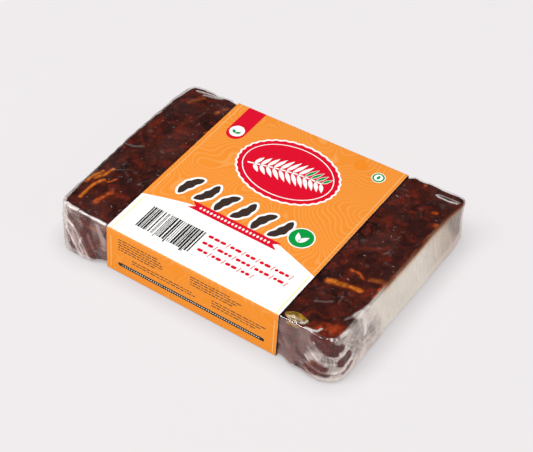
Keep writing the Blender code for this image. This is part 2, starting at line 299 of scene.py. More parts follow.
def printed_paper():
    """Coated label paper, offset printed: smooth warm orange, finely lined, with painted shade that makes
    it deeper down the sides.
    """
    material, tree, place = blank("coated paper with orange print")
    hills = add(tree, "TexNoise", {"Vector": place, "Scale": per(34 * MM), "Detail": 1.0, "Roughness": 0.3})
    height = add(tree, "Math", {0: hills, 1: CONTOURS}, operation="MULTIPLY")
    wave = add(tree, "Math", {0: height, 1: 1.0}, operation="PINGPONG")
    line = add(tree, "MapRange", {
        "Value": wave, "From Min": 0.05, "From Max": 0.38, "To Min": 0.42, "To Max": 0.0},
        interpolation_type="SMOOTHSTEP")
    rise = add(tree, "SeparateXYZ", {"Vector": place}).outputs["Z"]
    # Painted shade: the sides get a deeper copy of the same orange and of its paler lines
    side = add(tree, "MapRange", {
        "Value": rise, "From Min": BAND_TOP - BAND_RADIUS, "From Max": BAND_TOP - 3 * BAND_RADIUS})
    orange = add(tree, "MixRGB", {"Fac": side, "Color1": colour("#EF8F30"), "Color2": colour("#EF8B06")})
    paler = add(tree, "MixRGB", {"Fac": side, "Color1": colour("#F6B168"), "Color2": colour("#F2A04A")})
    base = add(tree, "MixRGB", {"Fac": line, "Color1": orange, "Color2": paler})
    # Fibres of the sheet, coarser than real so that they show
    fibres = add(tree, "TexNoise", {"Vector": place, "Scale": per(0.8 * MM), "Detail": 3.0})
    bump = add(tree, "Bump", {"Height": fibres, "Strength": 0.05, "Distance": 0.05 * MM})
    skin = add(tree, "BsdfPrincipled", {
        "Base Color": base, "Roughness": 0.42, "IOR": 1.45, "Specular IOR Level": 0.3, "Normal": bump})
    add(tree, "OutputMaterial", {"Surface": skin})
    return material


def cut_paper():
    """The same paper where it is cut or unprinted: bare white fibre."""
    material, tree, place = blank("bare label paper")
    # Fibres, coarser than real so that they show
    fibres = add(tree, "TexNoise", {"Vector": place, "Scale": per(0.5 * MM), "Detail": 3.0})
    base = add(tree, "MixRGB", {"Fac": fibres, "Color1": colour("#E2DCD2"), "Color2": colour("#F7F4EE")})
    skin = add(tree, "BsdfPrincipled", {"Base Color": base, "Roughness": 0.8})
    add(tree, "OutputMaterial", {"Surface": skin})
    return material


def ink(name, code):
    """Offset ink under varnish: flat colour that is a little uneven, with the paper's soft gloss."""
    material, tree, place = blank(name)
    cover = add(tree, "TexNoise", {"Vector": place, "Scale": per(1.2 * MM), "Detail": 2.0})
    shade = add(tree, "MapRange", {"Value": cover, "To Min": 0.95, "To Max": 1.03})
    base = add(tree, "MixRGB", {"Fac": 1.0, "Color1": colour(code), "Color2": shade}, blend_type="MULTIPLY")
    skin = add(tree, "BsdfPrincipled", {
        "Base Color": base, "Roughness": 0.42, "IOR": 1.45, "Specular IOR Level": 0.3})
    add(tree, "OutputMaterial", {"Surface": skin})
    return material


# The block's form

class Block:
    """A box with round edges, at some inset from the film's outside, upright until it is leaned."""

    def __init__(self, inset, left=BLOCK_LEFT):
        self.left = left + inset
        self.right = BLOCK_RIGHT - inset
        self.depth = BLOCK_DEPTH / 2 - inset
        self.bottom = FILM_BOTTOM + inset
        self.top = FILM_TOP - inset
        self.inset = inset
        self.edge = EDGE_RADIUS - inset
        self.middle = (self.left + self.right) / 2
        self.reach = (self.right - self.left) / 2

    def mesh(self, spacing):
        """The box cut into small quads, with long ones under the paper band, then rounded."""
        bm = bmesh.new()
        bmesh.ops.create_cube(bm, size=1.0)
        size = (self.right - self.left, 2 * self.depth, self.top - self.bottom)
        bmesh.ops.scale(bm, verts=bm.verts, vec=size)
        bmesh.ops.translate(bm, verts=bm.verts, vec=(self.middle, 0, (self.bottom + self.top) / 2))
        hidden = (BAND_LEFT + UNDER_BAND, BAND_RIGHT - UNDER_BAND)
        corner = self.depth - CORNER_ZONE
        for axis, place in ((0, hidden[0]), (0, hidden[1]), (1, -corner), (1, corner)):
            at = Vector((0, 0, 0))
            at[axis] = place
            cut(bm, at, at.normalized())
        cuts = ((0, self.left, hidden[0], spacing), (0, *hidden, HIDDEN_SPACING),
                (0, hidden[1], self.right, spacing), (1, -self.depth, -corner, spacing),
                (1, -corner, corner, FLAT_SPACING), (1, corner, self.depth, spacing),
                (2, self.bottom, self.top, spacing))
        for axis, low, high, step in cuts:
            across = []
            for edge in bm.edges:
                start, end = (v.co for v in edge.verts)
                along = abs(end[axis] - start[axis]) > 0.9 * (end - start).length
                if along and low < (start[axis] + end[axis]) / 2 < high:
                    across.append(edge)
            bmesh.ops.subdivide_edges(bm, edges=across, cuts=round((high - low) / step) - 1)
        for vertex in bm.verts:
            vertex.co = self.rounded(vertex.co)
        bm.normal_update()
        return bm

    def corner_at(self, x, y):
        """Radius of the upright corner nearest to a place."""
        return CORNER_RADII[1 if x > 0 else -1, 1 if y > 0 else -1] - self.inset

    def rounded(self, point):
        """A point of the square box, moved to the box with round edges."""
        x, y, z = point
        corner = self.corner_at(x, y)
        inner_x = min(max(x, self.left + corner), self.right - corner)
        inner_y = min(max(y, -self.depth + corner), self.depth - corner)
        out = Vector((x - inner_x, y - inner_y))
        reach = max(abs(out.x), abs(out.y))
        direction = out.normalized()
        middle = (self.top + self.bottom) / 2
        straight = (self.top - self.bottom) / 2 - self.edge
        rise = abs(z - middle) - straight
        near = self.edge - (corner - reach)
        if rise > 0 and near > 0:
            shrink = max(rise, near) / math.hypot(rise, near)
            z = middle + math.copysign(straight + rise * shrink, z - middle)
            reach = corner - self.edge + near * shrink
        return Vector((inner_x + direction.x * reach, inner_y + direction.y * reach, z))


def bow(y):
    """How far the left end of the pulp stands out at a place along it."""
    return LEFT_BOW * (1 - (2 * y / BLOCK_DEPTH) ** 4)


def bowed(point):
    """A point of the pulp, moved out by the bow of its left end and in by the tuck under it."""
    run = ease(BAND_LEFT, PULP_LEFT, point.x)
    low = low_share(point.z)
    return point + Vector((run * (LEFT_TUCK * low * low - bow(point.y)), 0, 0))


def leaned(point):
    """A point of the upright block, moved out by draft, by taper and by the fullness of the open ends."""
    low = low_share(point.z)
    x = point.x + RIGHT_DRAFT * low * max(0.0, point.x / BLOCK_RIGHT)
    y = point.y * (1 + SIDE_DRAFT * low / (BLOCK_DEPTH / 2))
    y += DEPTH_TAPER * x * (0.5 + y / BLOCK_DEPTH)
    right = ease(BAND_RIGHT, BAND_RIGHT + FULL_RUN, point.x)
    left = ease(BAND_LEFT, BAND_LEFT - FULL_RUN, point.x)
    back = ease(0.45, 1.0, 2 * point.y / BLOCK_DEPTH) * (1 - low)
    front = ease(0.45, 1.0, -2 * point.y / BLOCK_DEPTH) * low * low
    front *= ease(BLOCK_RIGHT + 2 * MM, BLOCK_RIGHT - FOOT_RUN, point.x)
    full = RIGHT_FULL * ease(BAND_RIGHT, BAND_RIGHT + BACK_RUN, point.x) + LEFT_FULL * left
    y += back * full - front * FRONT_FOOT * (right + left)
    x += back * back * CORNER_EAR * ease(BLOCK_RIGHT - FULL_RUN, BLOCK_RIGHT, point.x)
    return Vector((x, y, point.z))


def band_start():
    """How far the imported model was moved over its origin, from its band's left edge and its front."""
    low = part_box("label_band")[0]
    fronts = [leaned(Vector((x, -BAND_HALF, BAND_RADIUS))).y for x in (BAND_LEFT, BAND_RIGHT)]
    return Vector((low.x - BAND_LEFT, low.y - min(fronts), 0))


PLACED = band_start()


def cut(bm, at, normal):
    """Cuts the faces of a mesh along a plane."""
    geometry = bm.verts[:] + bm.edges[:] + bm.faces[:]
    bmesh.ops.bisect_plane(bm, geom=geometry, dist=1e-7, plane_co=at, plane_no=normal)


def pull(bm, faces, way):
    """Extrudes faces and moves the new ones along a vector, which leaves a closed solid."""
    made = bmesh.ops.extrude_face_region(bm, geom=faces)["geom"]
    fresh = [item for item in made if isinstance(item, bmesh.types.BMVert)]
    bmesh.ops.translate(bm, verts=fresh, vec=way)


def link(name, data):
    """A new object in the scene."""
    made = bpy.data.objects.new(name, data)
    bpy.context.scene.collection.objects.link(made)
    return made


def new_piece(name, bm, materials, nodes=(), sharp=50):
    """A finished piece that rides with the block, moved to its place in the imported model."""
    bmesh.ops.translate(bm, verts=bm.verts, vec=PLACED)
    mesh = bpy.data.meshes.new(name)
    bm.to_mesh(mesh)
    bm.free()
    for material in materials:
        mesh.materials.append(material)
    mesh.shade_smooth()
    mesh.set_sharp_from_angle(angle=math.radians(sharp))
    piece = link(name, mesh)
    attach(piece, "root")
    if nodes:
        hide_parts(*nodes)
    return piece


def openness(x, start=0.5 * MM, end=6.0 * MM):
    """0 under the paper band, 1 in the open ends."""
    return ease(start, end, max(BAND_LEFT - x, x - BAND_RIGHT))


# Pulp

AMBER = colour("#D8771F")
ORANGE = colour("#B8521A")
EMBER = colour("#A23A14")
RUST = colour("#7C2612")
TAN = colour("#8A4A1A")

# Fibres and bits of flesh that show through the film, the last two a painted glow along the right end's top
# edge: tint, width, then places on the top, in millimetres
SHOWN_STRANDS = (
    (AMBER, 1.9, ((-75.2, -32.6), (-74.6, -28.4), (-73, -22.9))),
    (AMBER, 1.9, ((-73, -28.8), (-71, -23.6), (-69.3, -19.7))),
    (AMBER, 2, ((-70.9, -42.9), (-71.1, -38), (-70.8, -33.8), (-70.5, -30.5), (-69, -27.5))),
    (ORANGE, 2.6, ((-62.8, -41.6), (-62.4, -36.4), (-60.6, -32.5))),
    (ORANGE, 1.4, ((-66.5, -27.5), (-64, -24))),
    (RUST, 3, ((-58.7, 3.2), (-54.5, 7))),
    (RUST, 2.4, ((-52.8, 11.4), (-49.5, 12.7))),
    (TAN, 2.6, ((-68.5, 39.2), (-66, 44.7))),
    (TAN, 2, ((-53.9, 40.1), (-51.1, 45.3))),
    (RUST, 3, ((-73.6, 16.5), (-72.8, 21.5))),
    (RUST, 2.8, ((-66, -6.9), (-60, -10.9))),
    (ORANGE, 1.2, ((-49.9, 25.3), (-49.2, 27))),
    (AMBER, 3, ((49.8, -22.4), (54, -21.8), (58.3, -20.8))),
    (AMBER, 2.4, ((57.3, -21.4), (61, -20.3), (64.5, -19.8))),
    (ORANGE, 1.4, ((54.7, -12), (59.5, -11.9), (62.5, -13.4))),
    (TAN, 2.6, ((65.1, -11.9), (72, -10.6))),
    (ORANGE, 1.7, ((66, 36.5), (67, 36.9))),
    (RUST, 2, ((55.2, 23.8), (59.3, 24.5))),
    (RUST, 1.8, ((49.4, 0.3), (55, 3.5), (61.2, 7.7))),
    (RUST, 1.4, ((44.7, 30.4), (51.5, 33.5))),
    (RUST, 2.8, ((47, -39.1), (49, -37.6))),
    (EMBER, 5.5, ((62, -47.4), (67, -44.6), (70, -43.2))),
    # Painted glow along the top edge of the right end, as if light came through it
    (TAN, 1.2, ((72, 25), (72.6, 2), (72.4, -19.4))),
    (ORANGE, 1.6, ((71.6, -20), (72, -10))),
)


def beside(points, start, end, reach):
    """Index and distance of each point of a search tree that lies within reach of a line."""
    run = end - start
    found = []
    for place, index, _ in points.find_range((start + end) / 2, run.length / 2 + reach):
        share = min(1.0, max(0.0, (place - start).dot(run) / run.length_squared))
        gap = (place - start - run * share).length
        if gap < reach:
            found.append((index, gap))
    return found


def search_tree(places):
    """A search tree of (index, place) pairs."""
    tree = kdtree.KDTree(len(places))
    for index, place in places:
        tree.insert(place, index)
    tree.balance()
    return tree


def strands():
    """Each fibre as two ends, half width and tint: the shown ones, then others drawn for all sides."""
    found = []
    for tint, width, places in SHOWN_STRANDS:
        points = [Vector((x * MM, y * MM, FILM_TOP - PULP_INSET)) for x, y in places]
        found += [(a, b, width / 2 * MM, tint) for a, b in zip(points, points[1:])]
    draw = random.Random(STRAND_SEED)
    for _ in range(STRAND_COUNT):
        x = draw.choice((draw.uniform(BLOCK_LEFT, BAND_LEFT), draw.uniform(BAND_RIGHT, BLOCK_RIGHT)))
        y = draw.uniform(-BLOCK_DEPTH / 2, BLOCK_DEPTH / 2)
        heights = (FILM_BOTTOM, draw.uniform(FILM_BOTTOM, FILM_TOP), draw.uniform(FILM_BOTTOM, FILM_TOP))
        z = draw.choice(heights)
        if z > FILM_BOTTOM:
            end = (math.copysign(BLOCK_RIGHT, x), y)
            x, y = draw.choice(((x, BLOCK_DEPTH / 2), (x, -BLOCK_DEPTH / 2), end))
        heading, tilt = draw.gauss(0.2, 0.9), draw.gauss(0.0, 0.5)
        half = draw.uniform(2.0, 6.5) * MM
        run = Vector((math.cos(heading), math.sin(heading), math.sin(tilt))) * half
        middle = Vector((x, y, z))
        tints = (RUST, RUST, TAN) if y == -BLOCK_DEPTH / 2 else (AMBER, ORANGE, ORANGE, RUST, RUST, RUST)
        tint = draw.choice(tints)
        found.append((middle - run, middle + run, draw.uniform(0.5, 1.3) * MM, tint))
    return found


def strand_shares(places):
    """Share and tint of the fibre that shows most, by vertex index, with wavy edges and thin ends."""
    wavy = []
    for index, at in places:
        sway = noise.noise_vector(at / (5 * MM)) * 0.6 * MM + noise.noise_vector(at / (1.5 * MM)) * 0.2 * MM
        wavy.append((index, at + sway))
    tree = search_tree(wavy)
    shares = {}
    for start, end, width, tint in strands():
        for index, gap in beside(tree, start, end, width * STRAND_GLOW):
            share = min(1.0, (STRAND_GLOW - gap / width) / (STRAND_GLOW - 0.3))
            share *= 0.5 if tint is RUST else 1.0
            if share > shares.get(index, (0.0, tint))[0]:
                shares[index] = (share, tint)
    return shares


def lumps(point):
    """Broad relief of the pressed mass, which the film follows too: how far it lies below the outline."""
    broad = noise.noise(point / LUMP_SIZE)
    small = noise.noise(point * 2.3 / LUMP_SIZE + Vector((5.1, 0, 0)))
    calm = ease(BLOCK_RIGHT + 1 * MM, BLOCK_RIGHT - 7 * MM, point.x)
    return -LUMP_DEPTH * calm * ease(0.45, -0.55, broad + 0.5 * small)


def cleft_and_shade(point):
    """1 in the clefts between the lumps of flesh, 0 on them. The pulp sinks there and is darkened by
    painted shade.
    """
    shift = noise.noise_vector(point / (8 * MM)) * 2.0 * MM
    near = noise.voronoi((point + shift) / CLEFT_SIZE)[0]
    open_share = ease(0.0, 0.4, noise.noise(point / (9 * MM) + Vector((0, 2.2, 0))))
    return open_share * ease(0.14, 0.0, near[1] - near[0])


def make_pulp():
    """The pressed mass: lumps of flesh with clefts between them, darkened by painted shade, then fibres and
    fine grain.
    """
    block = Block(PULP_INSET, PULP_LEFT)
    bm = block.mesh(PULP_SPACING)
    cleft_shade_layer = bm.verts.layers.float.new("cleft_and_shade")
    share_layer = bm.verts.layers.float.new("strand_share")
    tint_layer = bm.verts.layers.float_color.new("strand")
    bm.verts.ensure_lookup_table()
    open_places = []
    for vertex in bm.verts:
        at = bowed(vertex.co)
        if openness(at.x, -1 * MM, 0.0) > 0:
            open_places.append((vertex.index, at))
    shares = strand_shares(open_places)
    places = []
    for vertex in bm.verts:
        at = bowed(vertex.co)
        depth = cleft_and_shade(at)
        share, tint = shares.get(vertex.index, (0.0, RUST))
        uneven = 0.3 if tint is AMBER else 0.8
        share = min(1.0, share * (0.95 + uneven * noise.noise(at / (2.2 * MM))))
        grain = abs(noise.noise(at / GRAIN_SIZE)) + 0.5 * abs(noise.noise(at * 2.1 / GRAIN_SIZE))
        sink = lumps(at) - CLEFT_DEPTH * depth - GRAIN_DEPTH * grain + STRAND_RISE * share
        # Painted shade in the clefts, less where a fibre shows
        vertex[cleft_shade_layer] = depth * (1 - share)
        vertex[share_layer] = share
        vertex[tint_layer] = tint
        places.append(leaned(at + vertex.normal * min(sink, PULP_PROUD)))
    for vertex, place in zip(bm.verts, places):
        vertex.co = place
    return new_piece("pulp", bm, [pressed_pulp()], ["pulp_block"])


def make_flake():
    """The flake of rind that lies pressed into the pulp by the band's front right corner."""
    bm = bmesh.new()
    bmesh.ops.create_uvsphere(bm, u_segments=40, v_segments=24, radius=1.0)
    long, wide, thick = FLAKE_HALVES
    for vertex in bm.verts:
        x, y, z = vertex.co
        pinch = 1 - 0.35 * x * x
        vertex.co = Vector((x * long, y * wide * pinch, z * (thick + FLAKE_EDGE * abs(y))))
        vertex.co += vertex.normal * noise.noise(vertex.co / (2 * MM)) * 0.12 * MM
    tilt = Matrix.Rotation(math.radians(FLAKE_TILT), 3, "X")
    turn = Matrix.Rotation(math.radians(FLAKE_TURN), 3, "Z")
    bmesh.ops.rotate(bm, verts=bm.verts, cent=(0, 0, 0), matrix=turn @ tilt)
    bmesh.ops.translate(bm, verts=bm.verts, vec=FLAKE_PLACE)
    bmesh.ops.recalc_face_normals(bm, faces=bm.faces[:])
    return new_piece("rind_flake", bm, [pod_rind()])


# Film

NEUTRAL = colour("#E8E2E0")
ROSY = colour("#D9B1AA")
CREAM = colour("#E6DCCE")
HONEY = colour("#BE8242")
UMBER_GLOW = colour("#722B10")
MIST = colour("#DDCBC4")
WET = colour("#661B12")

# Creases of milky film, painted highlights of white haze where folds and edges would catch the light,
# and dark places, of negative haze, where the film touches the pulp: haze, lift and width, then places
# in millimetres, as (x, y) on the top, (x, z) on the front and (y, z) on the right end
TOP_CREASES_AND_HIGHLIGHTS = (
    # Painted highlights: along the front top edge right of the band, on the flake, and two spots by the
    # corner
    (0.70, 0.2, 0.8, ((57, -50.4), (60.5, -50.2), (62.6, -49.4), (63.3, -47.4))),
    (0.75, 0.2, 0.6, ((54, -48.9), (55.6, -48.3), (55.7, -46.9))),
    (0.80, 0.2, 0.6, ((69.6, -49.6), (69.9, -49.4))),
    (0.80, 0.2, 0.6, ((71.5, -48.4), (71.8, -48.2))),
    (0.50, 0.3, 1.1, ((72.2, -46), (72.6, -43), (73, -41))),
    (0.40, 0.4, 2.2, ((71.3, -32.8), (72.6, -29.2), (73.2, -25.4))),
    (0.16, 0.2, 0.9, ((68.8, -37), (70.6, -33.4), (71.6, -29))),
    # Painted highlights by the back right corner
    (0.80, 0.2, 0.6, ((61.5, 49.9), (63.2, 49.1), (68, 49.2), (72, 49.9))),
    (0.38, 0.1, 0.5, ((62, 50.6), (66.5, 51.2), (73, 50.9))),
    # Painted highlight along the front top edge, left of the band
    (0.90, 0.1, 0.9, ((-72.6, -49.8), (-69.5, -50.5), (-66, -50.4))),
    (0.80, 0.1, 0.8, ((-64.5, -50.5), (-60, -50.8), (-55, -50.6), (-50, -50.8))),
    (0.10, 0.2, 0.7, ((-74.6, -3.7), (-70.8, -2.9), (-67.8, -0.5))),
    (0.09, 0.2, 0.7, ((52, -35.4), (56.5, -33), (58, -31.6))),
    (0.45, 0.2, 0.5, ((-75, 45), (-75, 38), (-74.7, 33))),
    (0.60, 0.2, 0.6, ((-74.3, 31.5), (-75, 25), (-75, 18))),
    (0.45, 0.2, 0.4, ((-73.9, 24), (-74.7, 16), (-75, 11))),
    (0.50, 0.2, 0.5, ((-74.3, 12), (-74.9, 5), (-75, -2))),
    (0.40, 0.2, 0.5, ((-75, -22), (-74.9, -40))),
    (0.55, 0.3, 0.7, ((-70.5, 45.8), (-67.4, 46.4), (-61.5, 47.5), (-56.4, 48.7), (-52.3, 49.8))),
    (0.40, 0.2, 0.7, ((-66, 45), (-62.8, 46), (-57, 47.7))),
)
FRONT_CREASES_AND_HIGHLIGHTS = (
    (0.75, 0.2, 0.7, ((-70.3, 16.3), (-67.5, 15))),
    (0.45, 0.3, 0.8, ((-71.2, 12.5), (-67.7, 8.1), (-63.6, 4), (-60.3, 1.4))),
    (-0.30, -0.1, 2.6, ((-59.4, 22.1), (-61.5, 12.4), (-58.8, 8.1), (-55.1, 3.3))),
    (0.40, 0.2, 0.9, ((-62.5, 10.4), (-63.5, 6.5), (-60.7, 3.6))),
    (-0.25, 0, 2, ((-70.5, 10), (-68.4, 4.8), (-64.7, 1.5))),
    (-0.20, 0, 1.8, ((-69.8, 19), (-64.3, 14.3), (-61.5, 11.9))),
    (0.80, 0.2, 1, ((62.9, 19.7), (63.2, 19.5))),
    (0.35, 0.2, 3.6, ((62.2, 11.6), (65.9, 14))),
    (-0.45, 0, 3, ((67, 23.1), (69.2, 21), (70.2, 17.9))),
    (-0.35, 0, 2.6, ((63.3, 7.9), (66.2, 6.8), (69.1, 5.2))),
    (0.30, 0.2, 0.7, ((-73, 20), (-67, 14.2), (-62, 7.4), (-57.5, 2))),
    (0.25, 0.2, 0.6, ((-72.4, 20.5), (-70.6, 12), (-68.8, 6))),
    (-0.30, 0, 1.6, ((-63.5, 20.8), (-58.3, 15.4), (-54.5, 8))),
    (0.30, 0.1, 2, ((-54, 21), (-51.5, 15.5), (-50.5, 9))),
    (0.26, 0.3, 0.8, ((59.5, 10.8), (63.4, 7.1), (68.1, 5.9), (72, 5.9))),
    (0.24, 0.2, 0.7, ((57.5, 6.5), (62.5, 3.3), (68, 2.3), (72, 2.3))),
    (0.22, 0.2, 0.8, ((60, 15.5), (64, 12.5), (68, 11), (72, 10.5))),
    (-0.80, 0, 3.6, ((63.5, 21.5), (68, 20), (72.5, 17))),
    (-0.35, 0, 1.8, ((64, 9), (69, 8))),
    (-0.35, 0, 1.4, ((60, 5.5), (66, 4.3))),
)
END_CREASES_AND_HIGHLIGHTS = (
    (0.28, 0.3, 0.8, ((-51, 5.9), (-47, 6.3), (-43, 8), (-39, 11.5))),
    (0.25, 0.2, 0.7, ((-51, 2.4), (-46, 2.8), (-41, 4.5), (-36.5, 8))),
    (0.30, 0.2, 0.7, ((-51, 14.5), (-46.5, 14.2), (-41.5, 15.5))),
    (-0.60, 0, 3.2, ((-47.6, 10.3), (-43.8, 11.3))),
    (-0.50, 0, 2.8, ((-51, 18.5), (-47.5, 18.5))),
    (-0.40, 0, 1.2, ((-48, 4.3), (-42, 6))),
    # Painted highlight: an upright bright line near the front of the right end
    (0.80, 0.3, 1.5, ((-29.5, 19.8), (-29.9, 16.7), (-30.5, 13.3))),
)


def ridge(value, width):
    """1 where a noise crosses zero, 0 at some width away: a thin crease line."""
    return max(0.0, 1 - abs(value) / width)


def top_film(p):
    """Lift, haze and crinkle of the film where it clings to the top or underside: rare small blisters."""
    blister = ease(0.46, 0.62, noise.noise(p / (3.0 * MM) + Vector((0, 7.7, 0))))
    wander = noise.noise(p / (9 * MM)) + 0.3 * noise.noise(p / (3.5 * MM))
    crease = ridge(wander, 0.03) * ease(0.22, 0.45, noise.noise(p / (12 * MM) + Vector((3.3, 0, 0))))
    veil = ease(-0.1, 0.5, noise.noise(p / (13 * MM)))
    lift = (0.10 * blister + 0.12 * crease) * MM
    return lift, 0.008 * veil + 0.03 * blister + 0.10 * crease, 0.10


def side_film(p):
    """The same down the front and back: oblique pleats, dark where the film touches the pulp."""
    slant = p.x * 0.82 + p.z * 0.57 + 2.5 * MM * noise.noise(p / (7 * MM))
    pleat = noise.noise(Vector((slant / (3.6 * MM), p.y / (9 * MM), (p.z - 0.4 * p.x) / (11 * MM))))
    fold = ridge(pleat, 0.06)
    touch = ease(0.10, 0.38, noise.noise(Vector((slant / (4.2 * MM), 4.4, (p.z - 0.5 * p.x) / (12 * MM)))))
    patch = noise.noise(p / (5 * MM))
    lift = (0.26 * abs(pleat) + 0.14 * fold) * (1 - 0.8 * touch) * MM
    return lift, (0.18 + 0.16 * patch + 0.10 * fold) * (1 - 0.8 * touch), 0.20


def flap_share(p):
    """1 on the bottom flap that is turned up over each end, 0 beside it."""
    edge = FLAP_ROOT - FLAP_SLOPE * max(0.0, p.z - FOLD_LINE)
    inside = ease(edge + 0.5 * MM, edge - 0.5 * MM, abs(p.y))
    return inside * ease(FLAP_TOP + 0.4 * MM, FLAP_TOP - 0.4 * MM, p.z)


def end_film(p):
    """The same for the folded film over the two ends: several layers, clearer towards the back edge."""
    drift = p.y + 1.8 * MM * noise.noise(p / (12 * MM))
    pleat = noise.noise(Vector((2.2, drift / (1.5 * MM), p.z / (18 * MM))))
    broad = noise.noise(Vector((8.2, drift / (7 * MM), p.z / (12 * MM))))
    flap = flap_share(p)
    back = ease(14 * MM, 34 * MM, p.y)
    window = ease(36 * MM, 42 * MM, p.y + 0.5 * (p.z - 12 * MM)) * ease(5 * MM, 8 * MM, p.z)
    lift = (0.06 * abs(pleat) * (1 + back) + 0.10 * abs(broad) + 0.20 * flap) * MM
    edge = 1 - abs(2 * flap - 1)
    haze = 0.90 - 0.20 * back - 0.40 * window + (0.02 + 0.12 * back) * pleat + 0.05 * broad + 0.08 * edge
    start = FILM_TOP - (0.2 + 0.2 * broad) * MM
    return lift, haze * ease(start, start - 1.6 * MM, p.z), 0.15


def crumple(p, block):
    """Gathered film at the corners: facets that fan out from the top of each upright corner.

    How far it stands out, from 0 to 1, and how much it scatters: some facets are milky and some clear,
    and the folds between them are pale.
    """
    over = abs(p.y) - block.depth - abs(p.x - block.middle) + block.reach
    down = block.top + 3 * MM - p.z
    bent = noise.noise_vector(p / (6 * MM)) * 2.2 * MM
    turn = math.atan2(over + bent.x, down + bent.y)
    far = math.hypot(over, down) + bent.z
    seed = 2.0 * math.copysign(1, p.x) + math.copysign(1, p.y)
    fan, fan_spots = noise.voronoi(Vector((3.4 * turn, far / (9 * MM), seed)))
    cross, cross_spots = noise.voronoi((p + bent) / (5.5 * MM) + Vector((5.2, 0, 0)))
    fan_fold = ease(0.16, 0.0, fan[1] - fan[0])
    cross_fold = ease(0.14, 0.0, cross[1] - cross[0])
    milk = ease(-0.15, 0.30, noise.noise(fan_spots[0] * 3.3))
    milk = 0.6 * milk + 0.4 * ease(-0.1, 0.25, noise.noise(cross_spots[0] * 2.9))
    strokes = ridge(noise.noise(Vector((9 * turn, far / (14 * MM), seed + 4))), 0.16)
    fan_stand, cross_stand = (1 - min(1.0, near[1] - near[0]) for near in (fan, cross))
    stand = 0.5 * fan_stand + 0.35 * cross_stand + 0.2 * strokes
    return stand, 0.09 + 0.52 * milk + 0.18 * fan_fold + 0.07 * cross_fold + 0.24 * strokes


def corner_nearness(p, block):
    """1 at the nearest upright corner and up to the flap's edge in front, and 0 some way from them."""
    corner_x = block.right if p.x > 0 else block.left
    gap = math.hypot(p.x - corner_x, 0.8 * (p.y - math.copysign(block.depth, p.y)))
    near = 1 - ease(5 * MM, 16 * MM, gap)
    if p.x > block.right - 4 * MM:
        edge = FLAP_FRONT - FLAP_LEAN * p.z + 2.5 * MM * noise.noise(p / (5 * MM))
        near = max(near, ease(edge + 3.5 * MM, edge - 4.0 * MM, p.y))
    return near


def slack(p, block):
    """How far the loose film stands away past the two ends of the pulp, along X, or is drawn in to it."""
    height = 1 - min(1.0, max(0.0, low_share(p.z)))
    uneven = noise.noise(Vector((0, p.y / (13.3 * MM), p.z / (33 * MM))))
    if p.x < 0:
        near = ease(block.left + LEFT_RUN, block.left, p.x)
        at_pulp = PULP_LEFT - bow(p.y) - LEFT_STANDOFF - block.left
        tuck = FILM_TUCK * (1 - height) ** 2
        stand = LEFT_SLACK * (1 + 0.9 * uneven) * ease(block.depth, block.depth - 14 * MM, p.y)
        return near * (at_pulp + tuck - stand * math.sin(math.pi * height ** 1.5) ** 0.7)
    near = ease(block.right - RIGHT_RUN, block.right, p.x)
    flare = RIGHT_FLARE * (1 - height) ** 1.6 * ease(block.depth, block.depth - 14 * MM, p.y)
    return near * (RIGHT_SLACK * (1 + uneven) + flare)


def side_flare(p, block):
    """How far the loose film stands out along Y at the foot of the long sides, left of the band."""
    low = min(1.0, max(0.0, low_share(p.z)))
    along = ease(BAND_LEFT - 1 * MM, BAND_LEFT - 7 * MM, p.x)
    along *= ease(block.left + 3 * MM, block.left + 15 * MM, p.x)
    near = ease(block.depth - 6 * MM, block.depth, abs(p.y))
    return math.copysign(SIDE_FLARE * along * near * low ** 1.6, p.y)


def clear_of_pulp(p):
    """1 where the film at the left end stands clear of the pulp, low by its two corners, else 0."""
    low = ease(FILM_TOP - 3 * MM, FILM_TOP - 12 * MM, p.z)
    return low * ease(0.3, 0.9, abs(2 * p.y / BLOCK_DEPTH)) * ease(PULP_LEFT + 4 * MM, PULP_LEFT, p.x)


def film_at(p, normal, block):
    """Lift along the normal, haze and crinkle of the film at a point of its outline."""
    low = ease(0.1, -0.3, normal.z)
    side = ease(blend(0.55, 0.15, low), blend(0.95, 0.5, low), abs(normal.y))
    end = ease(blend(0.45, 0.15, low), blend(0.85, 0.5, low), abs(normal.x)) * (1 - side * low)
    side *= 1 - 0.5 * end
    shares = (max(0.0, 1 - side - end), side, end)
    forms = (top_film, side_film, end_film)
    parts = [(share, form(p)) for share, form in zip(shares, forms) if share > 0]
    lift, haze, crinkle = (sum(share * made[i] for share, made in parts) for i in range(3))
    apart = clear_of_pulp(p)
    haze = blend(haze, STANDING_HAZE, apart)
    # Painted glow: a rim of haze along the top of the right end, which the veil tints honey and umber
    rim = ease(0.2, 0.7, normal.x) * ease(FILM_TOP - 3 * MM, FILM_TOP - 1.5 * MM, p.z)
    haze = max(haze, GLOW_RIM_HAZE * rim)
    foot = end * ease(8 * MM, 3 * MM, p.z)
    near = corner_nearness(p, block)
    if near > 0:
        height, scatter = crumple(p, block)
        level = ease(0.75, 0.98, abs(normal.z))
        gathered = (1 - level) * (1.0 if p.y < 0 else 0.15 if p.x > 0 else 0.25)
        if p.x > 0:
            scatter += 0.28 * ease(0.6, 1.0, normal.x)
        lift += near * gathered * height * CORNER_LIFT
        scatter = max(scatter, STANDING_HAZE * apart, FOOT_HAZE * foot)
        haze = blend(haze, scatter, near * gathered)
        haze = max(haze, 0.8 * STANDING_HAZE * near * ease(5 * MM, 2 * MM, p.z))
        crinkle = blend(crinkle, 0.42, near * gathered * (1 - 0.8 * apart))
    crinkle = max(crinkle, 0.8 * abs(normal.y * normal.z))
    return lift * blend(0.15, 1.0, openness(p.x)), min(0.96, max(0.0, haze)), crinkle


